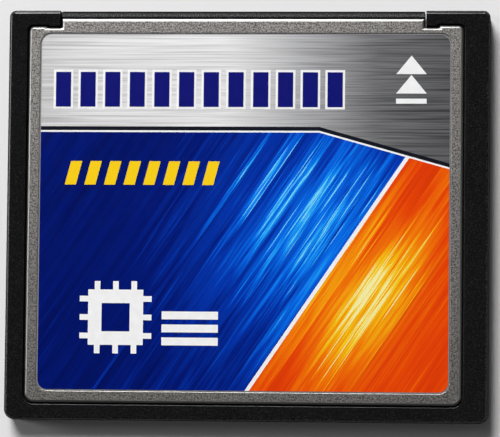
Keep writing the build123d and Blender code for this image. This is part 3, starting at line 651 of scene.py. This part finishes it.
# Edges over the sharp angle can be rounded, edges over the smooth angle stay creased in the
# shading, and faces within the flat angle of each other are joined first
SHARP_ANGLE = math.radians(25)
SMOOTH_ANGLE = math.radians(32)
FLAT_ANGLE = math.radians(0.5)


def rounded_mesh(node, steps, pierced):
    """Copy of a CAD node's mesh with its sharp edges rounded, inside the CAD box."""
    mesh = bmesh.new()
    mesh.from_mesh(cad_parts[node].data)
    bmesh.ops.remove_doubles(mesh, verts=mesh.verts, dist=MERGE_DISTANCE)
    if not pierced:
        bmesh.ops.dissolve_limit(mesh, angle_limit=FLAT_ANGLE, verts=mesh.verts, edges=mesh.edges)
    for width, chosen in steps:
        bmesh.ops.bevel(
            mesh,
            geom=[edge for edge in mesh.edges if is_sharp(edge) and chosen(edge)],
            offset=width,
            segments=ROUNDING_STEPS,
            profile=ROUND_PROFILE,
            affect="EDGES",
            clamp_overlap=False,
        )
    bmesh.ops.dissolve_degenerate(mesh, dist=MERGE_DISTANCE, edges=mesh.edges)
    for vert in mesh.verts:
        vert.co = [min(max(a, low), high) for a, low, high in zip(vert.co, cad_low, cad_high)]
    return mesh


def finer(node, material, steps, pierced=False):
    """Piece that stands in for a CAD node, with the node's sharp edges rounded.

    Each step is a width and a test that says which edges it rounds. A node with a pierced
    face keeps its triangles, because one face can't go round a row of holes.
    """
    mesh = rounded_mesh(node, steps, pierced)
    for face in mesh.faces:
        face.smooth = True
    data = bpy.data.meshes.new(f"{node}_finished")
    mesh.to_mesh(data)
    mesh.free()
    data.set_sharp_from_angle(angle=SMOOTH_ANGLE)
    data.materials.append(material)
    piece = bpy.data.objects.new(f"{node}_finished", data)
    bpy.context.collection.objects.link(piece)
    weigh = piece.modifiers.new("even_shading", "WEIGHTED_NORMAL")
    weigh.keep_sharp = True
    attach(piece, "root")
    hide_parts(node)


def is_sharp(edge):
    """True for an edge between two faces that meet at a clear angle."""
    return edge.is_manifold and edge.calc_face_angle() > SHARP_ANGLE


def on_rim(edge):
    """True for an edge of the bevel round the card's top and bottom."""
    middle = (edge.verts[0].co + edge.verts[1].co) / 2
    outside = max(abs(middle.x) - cad_high.x, abs(middle.y) - cad_high.y) > -RIM_ZONE
    level = min(middle.z - cad_low.z, cad_high.z - middle.z) < RIM_ZONE
    flat = abs(edge.verts[0].co.z - edge.verts[1].co.z) < MERGE_DISTANCE
    return outside and level and flat


def on_skin(edge):
    """True for an edge that lies in one of the card's outer planes."""
    first, second = (vert.co for vert in edge.verts)
    for axis in range(3):
        for plane in (cad_low[axis], cad_high[axis]):
            if max(abs(first[axis] - plane), abs(second[axis] - plane)) < MERGE_DISTANCE:
                return True
    return False


def near_face(edge):
    """True for an edge of a cover's bevelled rim or of its label recess."""
    return all(min(v.co.z - cad_low.z, cad_high.z - v.co.z) < FACE_ZONE for v in edge.verts)


def along_nose(edge):
    """True for one of the long edges of the bevels at the connector's front."""
    forward = all(cad_high.y - vert.co.y < NOSE_ZONE for vert in edge.verts)
    return forward and edge.calc_length() > NOSE_LENGTH


# Colours of the plastics, platings and ceramics
FRAME_BLACK = (0.0033, 0.0032, 0.0034)
CONNECTOR_BLACK = (0.0040, 0.0040, 0.0041)
EPOXY_BLACK = (0.020, 0.020, 0.021)
GOLD = (0.86, 0.60, 0.22)
TIN = (0.62, 0.62, 0.63)
PALE_NICKEL = (0.66, 0.62, 0.48)
CRYSTAL_GREY = (0.30, 0.28, 0.25)
CAPACITOR_TAN = (0.46, 0.32, 0.19)
RESISTOR_BLACK = (0.030, 0.030, 0.034)

# Colours of the film and of the plain inks
FILM_SILVER = (0.27, 0.27, 0.28)
INK_BLACK = (0.008, 0.009, 0.016)
INK_WHITE = (0.95, 0.95, 0.95)
INK_BLUE = (0.006, 0.008, 0.17)

# Painted highlight along the connector's rounded front: start, middle and end of the greyer band
PAINTED_HIGHLIGHT_BAND = (0.12, 0.45, 0.62)


def dress_casing():
    """Frame, covers and connector with rounded edges and their own finishes."""
    frame_plastic = moulded_black(
        "frame_grain", FRAME_BLACK, grain=0.115, depth=0.006 * MM, roughness=0.84
    )
    connector_plastic = moulded_black(
        "connector_grain",
        CONNECTOR_BLACK,
        grain=0.06,
        depth=0.002 * MM,
        roughness=0.70,
        painted_highlight=PAINTED_HIGHLIGHT_BAND,
    )
    steel = blasted_steel()
    rim_and_lips = [(RIM_ROUNDING, on_rim), (LIP_ROUNDING, on_skin)]
    sheet_edges = [(SHEET_ROUNDING, near_face)]
    nose = [(NOSE_ROUNDING, along_nose)]
    finer("frame", frame_plastic, rim_and_lips)
    finer("front_cover", steel, sheet_edges)
    finer("rear_cover", steel, sheet_edges)
    finer("connector_housing", connector_plastic, nose, pierced=True)


def paint(material, *nodes):
    """Gives CAD nodes a material."""
    for node in nodes:
        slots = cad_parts[node].data.materials
        slots.clear()
        slots.append(material)


def paint_inside():
    """Board, contacts, chips and small parts."""
    epoxy = moulded_black("chip_epoxy", EPOXY_BLACK, grain=0.08, depth=0.004 * MM, roughness=0.55)
    tin = plated("tin_plate", TIN, roughness=0.30)
    paint(plated("gold_plate", GOLD, roughness=0.24), "upper_contacts", "lower_contacts")
    paint(solder_mask(), "circuit_board")
    paint(epoxy, "flash_chip_left", "flash_chip_right", "controller_chip", "voltage_regulator")
    paint(tin, "flash_leads_left", "flash_leads_right", "controller_leads", "regulator_leads")
    paint(tin, "capacitor_caps", "resistor_caps")
    paint(fired("crystal_ceramic", CRYSTAL_GREY, grain=0.10), "crystal_base")
    paint(plated("crystal_plate", PALE_NICKEL, roughness=0.26), "crystal_lid")
    paint(fired("capacitor_ceramic", CAPACITOR_TAN, grain=0.08), "capacitors")
    paint(fired("resistor_ceramic", RESISTOR_BLACK, grain=0.06), "resistors")


def paint_label():
    """Film and fields of print."""
    paint(plain_print("film_silver", FILM_SILVER), "label_film")
    paint(brushed_header(), "label_silver")
    paint(plain_print("divider_black", INK_BLACK), "label_black")
    paint(blue_field(), "label_navy")
    paint(azure_bands(), "label_azure")
    paint(red_field(), "label_red")
    paint(orange_field(), "label_orange")
    paint(yellow_field(), "label_yellow")
    paint(plain_print("motif_white", INK_WHITE), "label_white")
    paint(plain_print("motif_blue", INK_BLUE), "label_blue")


FLOOR_SIZE = 4.0
FLOOR_DROP = 0.02 * MM
FLOOR_COLOUR = (0.84, 0.83, 0.835)
FLOOR_MATT = 0.85
FLOOR_SPECULAR = 0.2

# Lamps: name, direction from the card, size and power. All but the key lamp are there for the
# highlights that they draw on the edges of one side.
LAMP_DISTANCE = 0.60
LAMPS = [
    ("key", (-0.20, 0.60, 1.0), 0.20, 2.93),
    ("left", (-0.90, 0.14, 0.50), 0.14, 0.52),
    ("right", (0.90, -0.10, 0.80), 0.10, 0.06),
    ("front", (0.05, -0.90, 0.80), 0.10, 0.015),
    ("rim", (-0.25, 0.95, 0.38), 0.24, 1.2),
]

# Surroundings: dark overhead, light round the horizon and most so beyond the upper left
SKY_COLOUR = (1.0, 1.0, 1.0)
SKY_OVERHEAD = 0.03
SKY_HORIZON_NEAR = 0.40
SKY_HORIZON_FAR = 0.9
SKY_TOWARDS = Vector((-0.55, 0.83, 0.0))
SKY_RING_TOP = 0.32


def add_floor():
    """Plain pale floor that the card lies on."""
    half = FLOOR_SIZE / 2
    data = bpy.data.meshes.new("floor")
    corners = [(-half, -half, 0), (half, -half, 0), (half, half, 0), (-half, half, 0)]
    data.from_pydata(corners, [], [(0, 1, 2, 3)])
    surface = Surface("floor_paint", Roughness=FLOOR_MATT, Specular_IOR_Level=FLOOR_SPECULAR)
    surface.set("Base Color", opaque(FLOOR_COLOUR))
    data.materials.append(surface.material)
    floor = bpy.data.objects.new("floor", data)
    floor.location.z = cad_low.z - FLOOR_DROP
    bpy.context.collection.objects.link(floor)


def add_lamp(name, direction, size, power):
    """Square soft lamp that faces the card."""
    direction = Vector(direction)
    lamp = bpy.data.lights.new(name, "AREA")
    lamp.shape = "SQUARE"
    lamp.size = size
    lamp.energy = power
    holder = bpy.data.objects.new(name, lamp)
    holder.location = direction.normalized() * LAMP_DISTANCE
    holder.rotation_mode = "QUATERNION"
    holder.rotation_quaternion = direction.to_track_quat("Z", "Y")
    bpy.context.collection.objects.link(holder)


def add_sky():
    """Soft grey surroundings that edges and side walls reflect."""
    world = bpy.data.worlds.new("studio")
    world.use_nodes = True
    bpy.context.scene.world = world
    sky = Graph(world.node_tree, "Background")
    direction = sky.put("ShaderNodeTexCoord", {}).outputs["Generated"]
    towards = sky.along(direction, SKY_TOWARDS)
    ring = sky.spread(towards, -1.0, 1.0, SKY_HORIZON_NEAR, SKY_HORIZON_FAR)
    overhead = sky.spread(sky.axis(direction, 2), 0.0, SKY_RING_TOP)
    level = sky.put("ShaderNodeMix", {0: overhead, 2: ring, 3: SKY_OVERHEAD})
    sky.set("Strength", level.outputs[0])
    sky.set("Color", opaque(SKY_COLOUR))


def add_camera():
    """Camera over the card, a little towards its right and rear."""
    back = Vector((math.sin(VIEW_TILT_RIGHT), -math.sin(VIEW_TILT_REAR), 1)).normalized()
    rolled = Vector((math.sin(VIEW_ROLL), math.cos(VIEW_ROLL), 0))
    right = rolled.cross(back).normalized()
    up = back.cross(right)
    camera = bpy.data.cameras.new("camera")
    camera.lens = VIEW_LENS
    holder = bpy.data.objects.new("camera", camera)
    turn = Matrix((right, up, back)).transposed().to_4x4()
    aim = Vector((*VIEW_AIM, cad_high.z))
    holder.matrix_world = Matrix.Translation(aim + back * VIEW_DISTANCE) @ turn
    bpy.context.collection.objects.link(holder)
    bpy.context.scene.camera = holder


dress_casing()
paint_inside()
paint_label()
add_floor()
for lamp in LAMPS:
    add_lamp(*lamp)
add_sky()
add_camera()
bpy.context.scene.view_settings.view_transform = "Standard"
